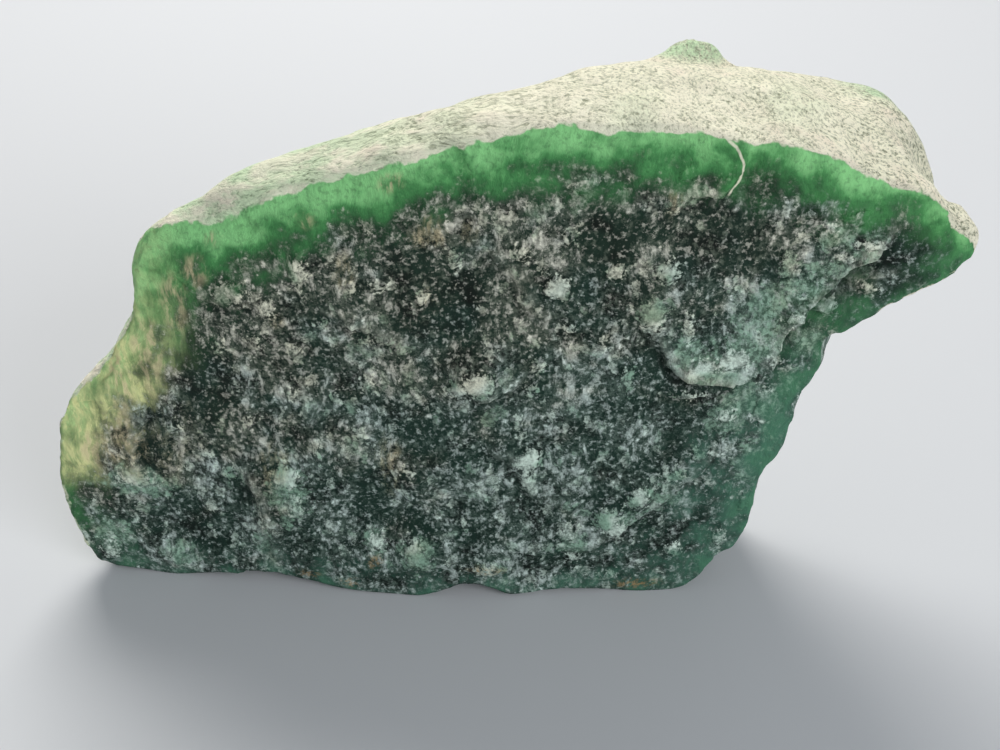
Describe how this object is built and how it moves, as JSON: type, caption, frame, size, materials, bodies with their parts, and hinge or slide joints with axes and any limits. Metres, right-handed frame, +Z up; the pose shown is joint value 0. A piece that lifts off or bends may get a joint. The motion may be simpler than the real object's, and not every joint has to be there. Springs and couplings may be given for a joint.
{
  "type": "raw aventurine boulder",
  "caption": "Split piece of raw green aventurine, upright on its broken base: a flaked dark green fracture in front, pale weathered crust over the top and an overhanging nose.",
  "frame": {"origin": "middle of the stone's footprint box, on the surface it stands on", "axes": "+X along the length towards the overhanging nose, +Y from the fractured front to the back, +Z up"},
  "size_m": [0.14, 0.033, 0.089],
  "materials": {
    "stone": "matte"
  },
  "bodies": {
    "root": {"boulder": "stone"}
  },
  "joints": []
}
